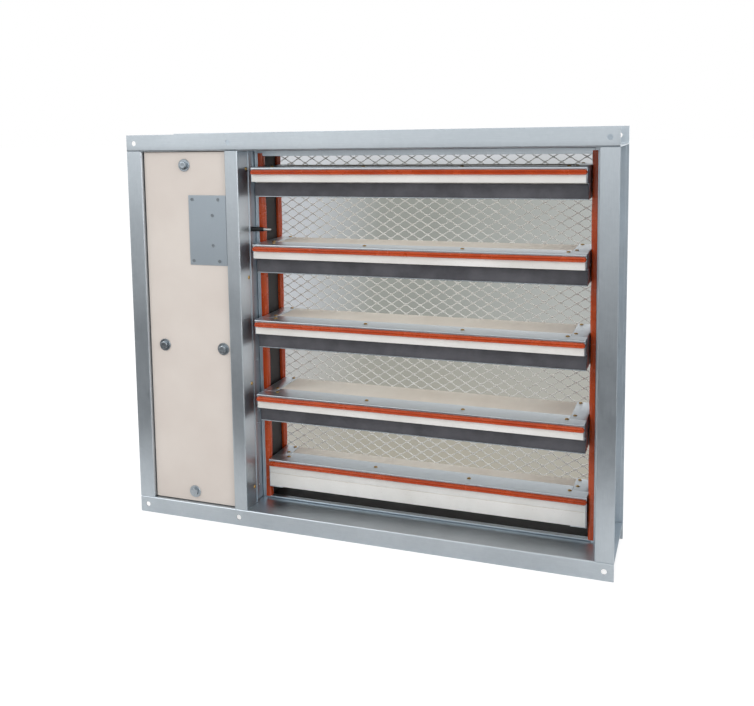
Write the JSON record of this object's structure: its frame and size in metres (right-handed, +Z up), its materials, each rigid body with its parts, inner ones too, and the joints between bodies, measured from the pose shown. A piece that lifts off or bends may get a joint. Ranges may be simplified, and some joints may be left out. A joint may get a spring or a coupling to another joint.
{
  "type": "fire damper",
  "caption": "Rectangular multi-blade fire damper: galvanised casing with duct flanges, parallel insulated blades that swing shut together, a closed mechanism chamber and a rear mesh guard.",
  "frame": {"origin": "middle of the base, under the centre of the casing's outline", "axes": "+X along the width to the right seen from the front, +Y from the front flange to the rear guard, +Z up"},
  "size_m": [0.86, 0.18, 0.71],
  "materials": {
    "galvanised_steel": "hot-dip galvanised sheet, bluish grey",
    "board": "cream calcium silicate fire board, matt",
    "silicone": "orange-red silicone rubber",
    "fire_strip": "dark grey graphite strip, matt",
    "zinc_plated": "bright zinc plate",
    "yellow_zinc": "yellow-passivated zinc",
    "bronze": "plain bearing bronze",
    "actuator_housing": "dark grey moulded plastic",
    "black_plastic": "black moulded plastic",
    "bare_steel": "plain steel"
  },
  "bodies": {
    "casing": {"top_rail": "galvanised_steel", "bottom_rail": "galvanised_steel", "left_stile": "galvanised_steel", "right_stile": "galvanised_steel", "divider_post": "galvanised_steel", "divider_wall": "galvanised_steel", "guard_frame": "galvanised_steel", "guard_mesh": "galvanised_steel", "front_stops": "galvanised_steel", "rear_stops": "galvanised_steel", "duct_linings": "fire_strip", "front_side_seals": "silicone", "rear_side_seals": "silicone", "shaft_bushes": "bronze", "actuator": "actuator_housing", "actuator_bracket": "galvanised_steel", "cover_ledges": "galvanised_steel", "front_cover": "board", "rear_cover": "board", "cover_spacers": "zinc_plated", "cover_bolts": "zinc_plated", "cover_washers": "zinc_plated", "service_plate": "galvanised_steel", "service_plate_screws": "zinc_plated", "wall_fixings": "yellow_zinc", "trip_sensor": "black_plastic", "trip_sensor_tip": "bare_steel"},
    "blade_1": {"blade_1_boards": "board", "blade_1_steelwork": "galvanised_steel", "blade_1_bulb_seal": "silicone", "blade_1_fire_strip": "fire_strip", "blade_1_screws": "yellow_zinc", "blade_1_shafts": "zinc_plated"},
    "blade_2": {"blade_2_boards": "board", "blade_2_steelwork": "galvanised_steel", "blade_2_bulb_seal": "silicone", "blade_2_fire_strip": "fire_strip", "blade_2_screws": "yellow_zinc", "blade_2_shafts": "zinc_plated", "actuator_clamp": "zinc_plated"},
    "blade_3": {"blade_3_boards": "board", "blade_3_steelwork": "galvanised_steel", "blade_3_bulb_seal": "silicone", "blade_3_fire_strip": "fire_strip", "blade_3_screws": "yellow_zinc", "blade_3_shafts": "zinc_plated"},
    "blade_4": {"blade_4_boards": "board", "blade_4_steelwork": "galvanised_steel", "blade_4_bulb_seal": "silicone", "blade_4_fire_strip": "fire_strip", "blade_4_screws": "yellow_zinc", "blade_4_shafts": "zinc_plated"},
    "blade_5": {"blade_5_boards": "board", "blade_5_steelwork": "galvanised_steel", "blade_5_bulb_seal": "silicone", "blade_5_screws": "yellow_zinc", "blade_5_shafts": "zinc_plated"},
    "tie_bar": {"tie_bar": "zinc_plated"}
  },
  "joints": [
    {"name": "blade_2_pivot", "type": "hinge", "parent": "casing", "child": "blade_2", "pos_m": [0.096, 0.015, 0.4885], "axis": [1, 0, 0], "range_deg": [0, 90]},
    {"name": "blade_1_pivot", "type": "hinge", "parent": "casing", "child": "blade_1", "pos_m": [0.096, 0.015, 0.624], "axis": [1, 0, 0], "range_deg": [0, 90]},
    {"name": "blade_3_pivot", "type": "hinge", "parent": "casing", "child": "blade_3", "pos_m": [0.096, 0.015, 0.353], "axis": [1, 0, 0], "range_deg": [0, 90]},
    {"name": "blade_4_pivot", "type": "hinge", "parent": "casing", "child": "blade_4", "pos_m": [0.096, 0.015, 0.2175], "axis": [1, 0, 0], "range_deg": [0, 90]},
    {"name": "blade_5_pivot", "type": "hinge", "parent": "casing", "child": "blade_5", "pos_m": [0.096, 0.015, 0.082], "axis": [1, 0, 0], "range_deg": [0, 90]},
    {"name": "tie_bar_pivot", "type": "hinge", "parent": "blade_2", "child": "tie_bar", "pos_m": [-0.2255, -0.00975, 0.51325], "axis": [1, 0, 0], "range_deg": [-90, 0]}
  ],
  "couplings": [
    {"joint": "blade_1_pivot", "follows": "blade_2_pivot", "ratio": 1},
    {"joint": "blade_3_pivot", "follows": "blade_2_pivot", "ratio": 1},
    {"joint": "blade_4_pivot", "follows": "blade_2_pivot", "ratio": 1},
    {"joint": "blade_5_pivot", "follows": "blade_2_pivot", "ratio": 1},
    {"joint": "tie_bar_pivot", "follows": "blade_2_pivot", "ratio": -1}
  ]
}
